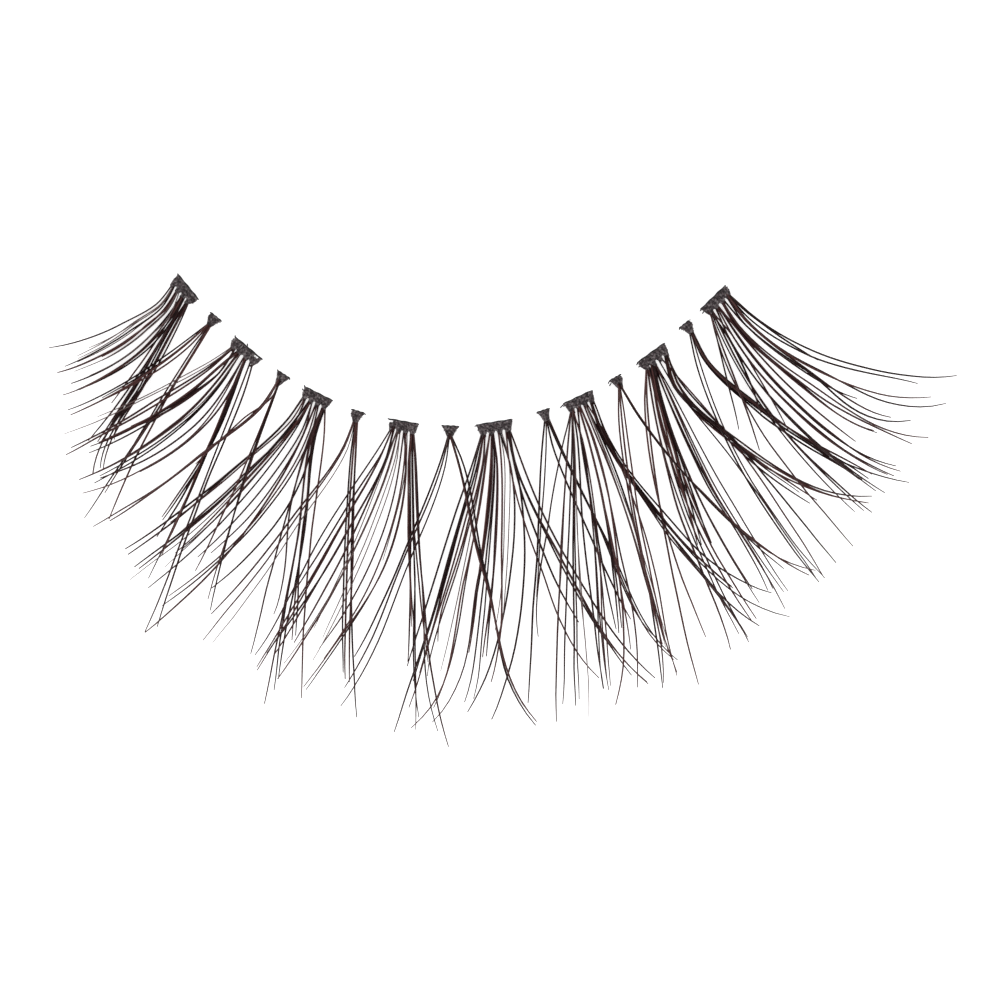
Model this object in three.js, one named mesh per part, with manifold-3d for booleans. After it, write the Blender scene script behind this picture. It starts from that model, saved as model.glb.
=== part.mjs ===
// A false eyelash strip lying on its band: a clear curved band, eight wide knots and seven
// narrow ones tied on it, and from each knot the hair, which fans out and curls up.
// Millimetres, +Z up. Seen from above, the strip's hollow side faces +Y and its hair -Y.
import * as THREE from "three";
import { mergeVertices } from "three/addons/utils/BufferGeometryUtils.js";
import Module from "manifold-3d";

const wasm = await Module();
wasm.setup();

// The lash line, a curve along the knots' back edges that everything is placed from
const LINE_SPAN = 27.5; // straight across, end to end
const LINE_RISE = 7.3; // how far its ends stand back from its middle
const LINE_FLARE = 2.1; // the power of the curve: 2 is a parabola, more is flatter in the middle
const LINE_STEPS = 400; // for measuring how far a point is from it

// The band, a clear square thread along the lash line
const BAND_INSET = 0.18; // from the lash line out to the middle of the band
const BAND_WIDTH = 0.2;
const BAND_HEIGHT = 0.18;
const BAND_STEPS = 40;

// The knots, flat plates of glued hair that straddle the band
const KNOT_HEIGHT = 0.5;
const KNOT_BACK = 0.07; // from the lash line back to the edge on the hollow side
const KNOT_FRONT = 0.44; // from the lash line out to where the teeth start
const TEETH = 4; // of a wide knot
const TOOTH_LENGTH = 0.16;
const BAND_CLEARANCE = 0.05; // between the band and the slot in each knot
const SPUR = 0.07; // the pointed corners of a wide knot's back edge
const FOOT_SHARE = 0.84; // a wide knot's width at its teeth, as a share of its back edge
const NOTCH_SHARE = 0.35; // each notch between two teeth, as a share of one tooth's pitch
const NARROW_WIDTH = 0.78; // a narrow knot's back edge
const NARROW_FOOT = 0.3; // and its one tooth

// The hair
const HAIR_REACH = 15; // about the reach of the middle hairs, straight out from the lash line
const LOCK_WIDTH = 0.09; // a lock's width at its root
const LOCK_HEIGHT = 0.11; // a lock's height at its root
const TIP_SIZE = 0.05; // a lock's width and height at its tip
const LOCK_STEPS = 6;
const ROOT_DEPTH = 0.14; // how far a lock's root sits inside its tooth
const ROOT_CLEAR = 0.05; // how far beyond its tooth a lock runs straight on
const LYING = 4.5; // how far from the lash line the hair lies flat
const CURL = 4.6; // how high the hair has curled up one HAIR_REACH from the lash line
const LOWEST_HAIR = 0.03; // how far the lowest hair clears the surface that the knots lie on
const SHEET_LIFT = 0.16; // from a knot's lower sheet of hair to its upper one
const CROWN = 0.1; // how much higher a hair lies that leaves straight out than one at the edge
const EDGE_HEADING = 45; // degrees from straight out to that edge
const FIRST_LIFT = 0.06; // each layer leaves its knot this much higher than the one below
const LAYER_LIFT = 0.3; // and ends up this much higher still
const LAYER_RUN = 1.1; // the distance over which it gets there

const HAIR_COLOUR = 0x1c1413;
const BAND_COLOUR = 0xeef1f2;

// Each tuft's knot: its place along the lash line as a share of the line's length, the width of
// its back edge as a share of LINE_SPAN for a wide knot, its layer in the crossing hair, and its
// locks.
// A lock's columns: tooth, heading at half its reach and at its tip in degrees from straight
// out (+ toward +X), and reach as a share of HAIR_REACH. Locks leave in two sheets, one over
// the other: the first, third and so on in the lower sheet, the others in the upper one.
const WIDE_TUFTS = [
  {
    at: 0.023, width: 0.062, layer: 0,
    locks: [
      [0, -15, -20, 0.5], [0, -12, -13, 0.38], [0, -10, -11.3, 0.45],
      [1, -1.5, -9.5, 0.5], [1, 1, -4, 0.38], [2, 7.5, -4, 0.49],
      [2, 10.5, -1.5, 0.51], [2, 16.5, 14, 0.6], [3, 20, 20, 0.68],
      [3, 23, 21, 0.66],
    ],
  },
  {
    at: 0.155, width: 0.065, layer: 2,
    locks: [
      [0, -26, -26.7, 0.68], [0, -20, -21.4, 0.7], [0, -13, -17.7, 0.5],
      [1, -13.5, -18.3, 0.63], [1, -5.2, -12.6, 0.71], [1, -2.5, -10.3, 0.68],
      [2, 4.3, -9.9, 0.73], [2, 8.5, -2.5, 0.55], [2, 17, 12, 0.66],
      [2, 17.4, 15.6, 0.83], [3, 20.6, 19.8, 1],
    ],
  },
  {
    at: 0.285, width: 0.059, layer: 0,
    locks: [
      [0, -22, -24.6, 0.83], [0, -17.5, -20.2, 0.75], [1, -14.8, -19, 0.86],
      [1, -11.3, -14.6, 0.7], [1, -9.4, -14.6, 0.86], [1, -4.3, -9.8, 0.675],
      [2, 1.4, -9.6, 0.97], [2, 12.5, -1.8, 0.735], [3, 13, 13.6, 0.89],
      [3, 19.6, 18.2, 1.04], [3, 23.2, 23.6, 1.007],
    ],
  },
  {
    at: 0.426, width: 0.058, layer: 2,
    locks: [
      [0, -27.2, -23.4, 0.91], [0, -21.8, -21.2, 0.957], [0, -18, -19.6, 0.888],
      [1, -13.3, -15.3, 0.8], [1, -11.8, -17.1, 0.949], [1, -8.5, -11.7, 0.83],
      [2, -0.5, -10.4, 0.82], [2, 1.4, -11.9, 0.94], [3, 12.6, 10.6, 0.79],
      [3, 13, 12, 1.02], [3, 15.3, 16.9, 1.085],
    ],
  },
  {
    at: 0.566, width: 0.065, layer: 0,
    locks: [
      [0, -30.2, -27.8, 0.857], [0, -26.5, -26.1, 1.08], [0, -25.4, -24.5, 0.9],
      [1, -20, -23.3, 1.05], [1, -14.3, -19.6, 1.015], [1, -12.8, -14.2, 0.85],
      [2, -7.5, -10.9, 0.8], [2, -5.8, -13.4, 0.96], [2, 0.3, -6.5, 0.7],
      [3, 11, 14.4, 0.9], [3, 18.8, 22.8, 0.995],
    ],
  },
  {
    at: 0.702, width: 0.065, layer: 2,
    locks: [
      [0, -31, -29, 1.077], [0, -27, -25.7, 1.02], [0, -24.5, -22.6, 1.05],
      [0, -21, -20, 0.975], [1, -16, -14.6, 0.85], [1, -5.5, -7.4, 0.88],
      [1, -4, -8.8, 1.005], [2, -2, -5.6, 0.98], [3, 7.4, 10.2, 0.98],
      [3, 8.8, 18.4, 1.01], [3, 12, 19.5, 0.91],
    ],
  },
  {
    at: 0.835, width: 0.06, layer: 0,
    locks: [
      [0, -33.8, -29.5, 1.11], [0, -29, -23, 1.02], [0, -26, -19.6, 1],
      [0, -25, -23.9, 0.66], [1, -22.5, -17.6, 0.94], [1, -20, -14.4, 0.9],
      [1, -13.6, -10.5, 0.95], [2, -9.8, -8.1, 0.914], [3, 7.5, 3.5, 0.932],
      [3, 6.4, 17.6, 0.883], [2, 2, -1, 0.94],
    ],
  },
  {
    at: 0.967, width: 0.063, layer: 2,
    locks: [
      [0, -32.5, -30.5, 0.54], [0, -26.5, -17.4, 0.956], [0, -21.3, -11.6, 0.88],
      [1, -15.2, -6, 0.868], [1, -11.5, -1.8, 0.85], [1, -9, 0.1, 0.853],
      [2, -1.6, 4.5, 0.76], [2, 1.5, 9.9, 0.855], [2, 4, 11.2, 0.776],
      [3, 8, 18.5, 0.85], [3, 14.5, 24.5, 0.849],
    ],
  },
];
const NARROW_TUFTS = [
  { at: 0.088, layer: 1, locks: [[0, -10, -14.5, 0.58], [0, 9.5, 10, 0.66], [0, 10.5, 10.5, 0.79]] },
  { at: 0.222, layer: 3, locks: [[0, -12.5, -17.7, 0.81], [0, 11, 9, 0.72], [0, 13, 15, 0.82]] },
  {
    at: 0.352, layer: 1,
    locks: [[0, -12.1, -16.4, 0.92], [0, -9.8, -13.2, 0.907], [0, 14.1, 15.8, 0.893], [0, 15.8, 18.7, 1.016]],
  },
  { at: 0.497, layer: 3, locks: [[0, -20, -22, 0.88], [0, -17.5, -21, 0.995], [0, 13.4, 16.4, 1.02]] },
  { at: 0.645, layer: 1, locks: [[0, -20.7, -23.5, 0.96], [0, 2.5, 4.7, 0.75], [0, 7.2, 9.2, 0.93]] },
  { at: 0.768, layer: 3, locks: [[0, -24.2, -21.2, 0.96], [0, 4.7, 9.5, 0.85], [0, 5.2, 13.2, 0.922]] },
  { at: 0.9055, layer: 1, locks: [[0, -21.8, -15, 0.966], [0, -0.8, 6.8, 0.79], [0, -0.2, 11.6, 0.909]] },
];

// The lash line in plan, for places given as shares of its length.
class LashLine extends THREE.Curve {
  getPoint(t, target = new THREE.Vector2()) {
    const across = 2 * t - 1;
    return target.set((LINE_SPAN / 2) * across, LINE_RISE * Math.abs(across) ** LINE_FLARE);
  }
}
const lashLine = new LashLine();
lashLine.arcLengthDivisions = LINE_STEPS;
const lashLinePoints = lashLine.getSpacedPoints(LINE_STEPS);

// How far a point in plan lies from the lash line.
function fromLashLine(point) {
  return Math.min(...lashLinePoints.map((other) => other.distanceTo(point)));
}

// The height of the lowest hair at a point in plan: flat near the band, then curling up.
function curlHeight(point) {
  const past = Math.max(0, fromLashLine(point) - LYING) / (HAIR_REACH - LYING);
  return CURL * past ** 2;
}

// How far above that a layer's hair runs, at a distance from its own knot.
function layerHeight(layer, distance) {
  return layer * (FIRST_LIFT + LAYER_LIFT * (1 - Math.exp(-distance / LAYER_RUN)));
}

// A box bent along stations, each one with its middle, the way it runs, its width and its height.
function bentBar(stations) {
  const geometry = new THREE.BoxGeometry(1, 1, 1, 1, 1, stations.length - 1);
  const vertices = geometry.attributes.position;
  const corner = new THREE.Vector3();
  for (let i = 0; i < vertices.count; i++) {
    corner.fromBufferAttribute(vertices, i);
    const station = stations[Math.round((corner.z + 0.5) * (stations.length - 1))];
    const { middle, forward, width, height } = station;
    const side = new THREE.Vector3(-forward.y, forward.x, 0).normalize();
    const up = new THREE.Vector3().crossVectors(forward, side).normalize();
    side.multiplyScalar(corner.x * width);
    up.multiplyScalar(corner.y * height);
    corner.copy(middle).add(side).add(up);
    vertices.setXYZ(i, corner.x, corner.y, corner.z);
  }
  return geometry;
}

// The band's bar, or with a clearance and extra depth the room that it needs in a knot.
function bandBar(clearance = 0, below = 0) {
  const width = BAND_WIDTH + 2 * clearance;
  const height = BAND_HEIGHT + clearance + below;
  const stations = Array.from({ length: BAND_STEPS + 1 }, (_, i) => {
    const at = lashLine.getPointAt(i / BAND_STEPS);
    const along = lashLine.getTangentAt(i / BAND_STEPS);
    const out = new THREE.Vector2(along.y, -along.x);
    at.addScaledVector(out, BAND_INSET);
    const middle = new THREE.Vector3(at.x, at.y, height / 2 - below);
    return { middle, forward: new THREE.Vector3(along.x, along.y, 0), width, height };
  });
  return bentBar(stations);
}

// A geometry as a manifold solid, and back.
function toSolid(geometry) {
  const bare = geometry.clone();
  bare.deleteAttribute("normal");
  bare.deleteAttribute("uv");
  const merged = mergeVertices(bare, 1e-5);
  return new wasm.Manifold(
    new wasm.Mesh({
      numProp: 3,
      vertProperties: new Float32Array(merged.attributes.position.array),
      triVerts: new Uint32Array(merged.index.array),
    }),
  );
}
function toGeometry(solid) {
  const mesh = solid.getMesh();
  const geometry = new THREE.BufferGeometry();
  geometry.setAttribute("position", new THREE.BufferAttribute(mesh.vertProperties, 3));
  geometry.setIndex(new THREE.BufferAttribute(mesh.triVerts, 1));
  return geometry;
}

// A wide knot in plan: a plate with pointed back corners and teeth that the hair leaves from.
function wideKnotShape(width) {
  const foot = width * FOOT_SHARE;
  const pitch = foot / TEETH;
  const notch = pitch * NOTCH_SHARE;
  const shape = new THREE.Shape();
  shape.moveTo(width / 2 + SPUR, KNOT_BACK + SPUR / 3);
  shape.lineTo(-width / 2 - SPUR, KNOT_BACK + SPUR / 3);
  shape.lineTo(-width / 2, 0);
  shape.lineTo(-foot / 2, -KNOT_FRONT);
  for (let tooth = 0; tooth < TEETH; tooth++) {
    const left = -foot / 2 + tooth * pitch;
    shape.lineTo(left + notch / 2, -KNOT_FRONT - TOOTH_LENGTH);
    shape.lineTo(left + pitch - notch / 2, -KNOT_FRONT - TOOTH_LENGTH);
    shape.lineTo(left + pitch, -KNOT_FRONT);
  }
  shape.lineTo(width / 2, 0);
  return shape;
}

// A narrow knot in plan: a wedge with one tooth.
function narrowKnotShape() {
  const shape = new THREE.Shape();
  shape.moveTo(NARROW_WIDTH / 2, KNOT_BACK);
  shape.lineTo(-NARROW_WIDTH / 2, KNOT_BACK);
  shape.lineTo(-NARROW_WIDTH / 2 + SPUR, 0);
  shape.lineTo(-NARROW_FOOT / 2, -KNOT_FRONT - TOOTH_LENGTH);
  shape.lineTo(NARROW_FOOT / 2, -KNOT_FRONT - TOOTH_LENGTH);
  shape.lineTo(NARROW_WIDTH / 2 - SPUR, 0);
  return shape;
}

// Which sheet of its knot's hair a lock is in, from its place in the table.
const sheetOf = (index) => index % 2;

// Where each lock starts across its knot: those of one tooth stand side by side in it.
function rootsAcross(locks, toothMiddles, toothWidth) {
  return locks.map(([tooth, heading]) => {
    const mates = locks.filter((lock) => lock[0] === tooth);
    const rank = mates.filter((lock) => lock[1] < heading).length + 0.5;
    return toothMiddles[tooth] + toothWidth * (rank / mates.length - 0.5);
  });
}

// A point in a tuft's own frame, where straight out from the band is -Y.
function headed(degrees, distance) {
  const turn = THREE.MathUtils.degToRad(degrees);
  return new THREE.Vector2(Math.sin(turn), -Math.cos(turn)).multiplyScalar(distance);
}

// One lock in its tuft's frame: straight through its tooth's end, then tapering to its tip.
function lockBar([, midHeading, tipHeading, reachShare], across, sheet, layer, placed) {
  const reach = reachShare * HAIR_REACH;
  const exit = new THREE.Vector2(across, -KNOT_FRONT - TOOTH_LENGTH - ROOT_CLEAR);
  const middle = headed(midHeading, reach / 2);
  const tip = headed(tipHeading, reach);
  const pull = middle.clone().multiplyScalar(2).sub(exit.clone().add(tip).multiplyScalar(0.5));
  const plan = new THREE.QuadraticBezierCurve(exit, pull, tip);
  const crown = CROWN * (1 - Math.abs(midHeading) / EDGE_HEADING);
  const points = plan.getPoints(LOCK_STEPS).map((flat, i) => {
    const world = new THREE.Vector3(flat.x, flat.y, 0).applyMatrix4(placed);
    const curl = curlHeight(new THREE.Vector2(world.x, world.y));
    const lift = layerHeight(layer, flat.distanceTo(exit)) + sheet * SHEET_LIFT + crown;
    return new THREE.Vector3(flat.x, flat.y, LOWEST_HAIR + curl + lift + taper(LOCK_HEIGHT, i) / 2);
  });
  const stations = points.map((point, i) => {
    const forward = points[Math.min(i + 1, LOCK_STEPS)].clone().sub(points[Math.max(i - 1, 0)]);
    if (i === 0) forward.set(0, -1, 0);
    const [width, height] = [taper(LOCK_WIDTH, i), taper(LOCK_HEIGHT, i)];
    return { middle: point, forward: forward.normalize(), width, height };
  });
  const root = points[0].clone().setY(exit.y + ROOT_CLEAR + ROOT_DEPTH);
  return bentBar([{ ...stations[0], middle: root }, ...stations]);
}

// A lock's size at one of its steps, given that size at its root.
function taper(rootSize, step) {
  return THREE.MathUtils.lerp(rootSize, TIP_SIZE, step / LOCK_STEPS);
}

// A knot with its slot for the band and its locks fused on, placed on the band.
function tuftMesh(name, tuft, shape, toothMiddles, toothWidth) {
  const at = lashLine.getPointAt(tuft.at);
  const along = lashLine.getTangentAt(tuft.at);
  const mesh = new THREE.Mesh();
  mesh.name = name;
  mesh.position.set(at.x, at.y, 0);
  mesh.rotation.z = Math.atan2(along.y, along.x);
  mesh.updateMatrix();
  const plate = new THREE.ExtrudeGeometry(shape, { depth: KNOT_HEIGHT, bevelEnabled: false });
  const room = bandBar(BAND_CLEARANCE, KNOT_HEIGHT).applyMatrix4(mesh.matrix.clone().invert());
  let solid = toSolid(plate).subtract(toSolid(room));
  const across = rootsAcross(tuft.locks, toothMiddles, toothWidth);
  tuft.locks.forEach((lock, i) => {
    solid = solid.add(toSolid(lockBar(lock, across[i], sheetOf(i), tuft.layer, mesh.matrix)));
  });
  mesh.geometry = toGeometry(solid);
  mesh.geometry.computeVertexNormals();
  mesh.material = new THREE.MeshStandardMaterial({
    color: HAIR_COLOUR, roughness: 0.5, metalness: 0, flatShading: true,
  });
  return mesh;
}

// The eight wide tufts, from the left end to the right.
function wideTufts() {
  return WIDE_TUFTS.map((tuft, i) => {
    const width = tuft.width * LINE_SPAN;
    const pitch = (width * FOOT_SHARE) / TEETH;
    const middles = Array.from({ length: TEETH }, (_, tooth) => (tooth - (TEETH - 1) / 2) * pitch);
    const toothWidth = pitch * (1 - NOTCH_SHARE);
    return tuftMesh(`wide_tuft_${i + 1}`, tuft, wideKnotShape(width), middles, toothWidth);
  });
}

// The seven narrow tufts between them.
function narrowTufts() {
  return NARROW_TUFTS.map((tuft, i) =>
    tuftMesh(`narrow_tuft_${i + 1}`, tuft, narrowKnotShape(), [0], NARROW_FOOT * (1 - NOTCH_SHARE)),
  );
}

// The clear band.
function band() {
  const material = new THREE.MeshStandardMaterial({
    color: BAND_COLOUR, roughness: 0.15, metalness: 0, transparent: true, opacity: 0.35,
  });
  const mesh = new THREE.Mesh(bandBar(), material);
  mesh.name = "band";
  mesh.geometry.computeVertexNormals();
  return mesh;
}

// The whole strip, moved so that its origin is under the middle of its box.
const strip = new THREE.Group();
strip.name = "false_eyelash_strip";
strip.add(band(), ...wideTufts(), ...narrowTufts());
strip.updateMatrixWorld(true);
const box = new THREE.Box3().setFromObject(strip, true);
strip.position.set(-(box.min.x + box.max.x) / 2, -(box.min.y + box.max.y) / 2, -box.min.z);

export default strip;
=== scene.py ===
# A false eyelash strip lying on white: single crossing hairs tied on a clear band in fifteen
# knots. All shapes are worked out in millimetres, and each finished mesh is turned to metres.
import math
import random
from typing import NamedTuple

import bpy
import numpy as np
from mathutils import Matrix, Vector


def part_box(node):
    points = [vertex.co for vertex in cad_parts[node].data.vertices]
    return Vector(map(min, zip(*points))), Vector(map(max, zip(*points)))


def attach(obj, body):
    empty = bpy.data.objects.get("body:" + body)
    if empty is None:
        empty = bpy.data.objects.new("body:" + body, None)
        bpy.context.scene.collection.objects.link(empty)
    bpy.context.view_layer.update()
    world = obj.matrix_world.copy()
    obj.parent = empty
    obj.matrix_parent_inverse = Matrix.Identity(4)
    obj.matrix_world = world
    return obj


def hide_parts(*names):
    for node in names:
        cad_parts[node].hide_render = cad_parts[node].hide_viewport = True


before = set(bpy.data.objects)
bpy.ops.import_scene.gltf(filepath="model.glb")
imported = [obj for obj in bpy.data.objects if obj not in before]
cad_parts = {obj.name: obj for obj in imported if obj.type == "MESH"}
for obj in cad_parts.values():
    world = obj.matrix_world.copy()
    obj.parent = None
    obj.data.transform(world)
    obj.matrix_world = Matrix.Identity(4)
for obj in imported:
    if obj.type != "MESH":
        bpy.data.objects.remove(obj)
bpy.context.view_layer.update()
METRES = 0.001  # one millimetre

# The lash line, along the back edges of the knots: hair and knots are placed from it
LINE_SPAN = 27.5
LINE_RISE = 7.3
LINE_FLARE = 2.1
LINE_STEPS = 2000

# The clear band
BAND_INSET = 0.18
BAND_WIDTH = 0.2
BAND_STEPS = 160

# The knots
KNOT_BOTTOM = 0.02
KNOT_HEIGHT = 0.46
KNOT_FRONT = 0.4  # from the lash line out to where the teeth start
TEETH = 4  # of a wide knot
TOOTH_LENGTH = 0.1
FOOT_SHARE = 0.9  # a wide knot's width at its teeth, as a share of its back edge
NOTCH_SHARE = 0.4  # each notch between two teeth, as a share of one tooth's pitch
NOTCH_DEPTH = 0.03  # how far a notch reaches in behind the teeth
NARROW_FOOT = 0.26
WIDEST_NARROW = 1.0  # a wider knot is a wide one
BITE_DEPTH = 0.1
KNOT_VOXEL = 0.032
KNOT_LUMP = 0.12  # size of the lumps that the set glue leaves
KNOT_GRAIN = 0.035  # and their height
WRAPS = 6  # hair roots folded over the band in each bundle
WRAP_LEAN = 0.03
# A folded root's path up, back over the band and under it: distance out, height
WRAP_PATH = [
    (KNOT_FRONT + 0.2, 0.17), (KNOT_FRONT + 0.06, 0.26), (0.36, 0.37), (0.22, 0.42), (0.09, 0.4),
    (0.03, 0.31), (0.02, 0.18), (0.06, 0.08), (0.18, 0.05),
]
THREAD_BACK = 0.045  # how far the tying thread lies back from the lash line
THREAD_HEIGHT = 0.38
GRAINS = 14.0  # lumps of dry glue on a square millimetre
GRAIN_SMALLEST = 0.02
GRAIN_LARGEST = 0.045

# The hair
HAIR_REACH = 15.0  # about the reach of the middle hairs
HAIR_WIDTH = 0.1035
FINE_GIRTH = 0.6  # a fine hair's width, as a share of HAIR_WIDTH
LEAST_GIRTH = 0.85  # and the thinnest and thickest of the others
MOST_GIRTH = 1.15
TIP_SHARE = 0.5  # a hair's width at its tip
ROOT_SHARE = 0.88  # and at its root, where the fold presses it flat
HAIR_SIDES = 7
GUIDE_STEPS = 26
ROOT_OUT = 0.3  # where hair starts inside its knot
ROOT_GAP = 0.07  # how far apart the hairs of one row start,
BELLY = 0.34  # bow half way
SPLAY = 0.3  # and end
WAVE = 0.3  # how far a hair sways at its tip
WAVE_LENGTH = 5.0
STRANDS = 3  # strands of a bundle that show apart where it leaves its tooth
STRAND_LOOSE = 0.16  # how loosely a hair keeps to its strand, as a share of the tooth
STRAND_FAN = 0.09  # how far a strand stands off at most,
STRAND_RUN = 2.4  # this far from the knot
NARROW_LEG = 0.05  # from a narrow knot's middle to the root of each leg
BUNDLE_LENGTH = 1.5  # a bundle holds together this far from its knot
BUNDLE_LOOSE = 0.75  # how much of its own way a hair has even there
LYING = 4.5  # how far from the lash line the hair lies flat
CURL = 4.6  # how high it has curled up one HAIR_REACH from the lash line
LOWEST_HAIR = 0.05
SHEET_LIFT = 0.16  # from a knot's lower sheet of hair to its upper one
LEVEL_VARIATION = 0.1
FIRST_LIFT = 0.06  # each layer leaves its knot this much higher than the one below
LAYER_LIFT = 0.3  # and ends up this much higher still
LAYER_RUN = 1.1  # the distance over which it gets there
CURL_VARIATION = 0.12  # the least curled hair lifts this share less than the most curled

WRAP_SIZES = {"Width": 0.085, "Tip share": 0.9, "Wave": 0.08, "Wave length": 0.3, "Sides": 6}
THREAD_SIZES = {"Width": 0.1, "Tip share": 0.75, "Wave": 0.0, "Sides": 6}

# The floor, and the light, whose boxes' size and places are in metres
FLOOR_HALF = 1500.0
FLOOR_DROP = 0.01  # the strip lies this little above it
FLOOR_GLOW = 0.75
SKY_STRENGTH = 0.25
SOFTBOX_POWER = 2.9
SOFTBOX_SIZE = 0.8
SOFTBOXES = {
    "left": (-0.9, 0.1, 0.55), "right": (0.9, 0.1, 0.55), "back": (0, 0.9, 0.6),
    "front": (0, -0.9, 0.6),
}

# What the photograph shows, 20 of its pixels to a millimetre
PIXEL = 0.05
PHOTO_SIZE = 1000
LINE_MIDDLE_PIXEL = (452, 426)
LENS = 500.0
SENSOR = 36.0

# Each tuft, from the strip's left end:
#   at      its place along the lash line, as a share of the line's length
#   width   of its knot's back edge, as a share of LINE_SPAN
#   seat    how far its knot lies off that place, across and out, and its turn in degrees
#   rounded the knot's side, if any, that is round instead of pointed
#   bite    a stretch of the back edge, in shares of half the width, that the glue left bare
#   ends    the thread's loose ends: side, start out, heading in degrees from the knot's right
#           end toward its hair, and length
#   layer   its height among the tufts whose hair crosses
#   bends   how far the hairs of each tooth, or of a narrow knot's left and right legs, bow
#           together toward +X a quarter of the way out
#   fine    the hairs, by their place in the list, that are thin and pale
#   hairs   the table of its hairs, whose columns Hair names
# Headings are in degrees from straight out, + toward +X.
class Hair(NamedTuple):
    tooth: int
    mid: float  # heading at half its reach
    tip: float  # and at its tip
    reach: float  # as a share of HAIR_REACH
    count: int  # how many hairs run there side by side
    late: float = None  # heading at three quarters of its reach, of a hair that hooks late
    bend: float = None  # its own bow, where it isn't its tooth's


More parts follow.
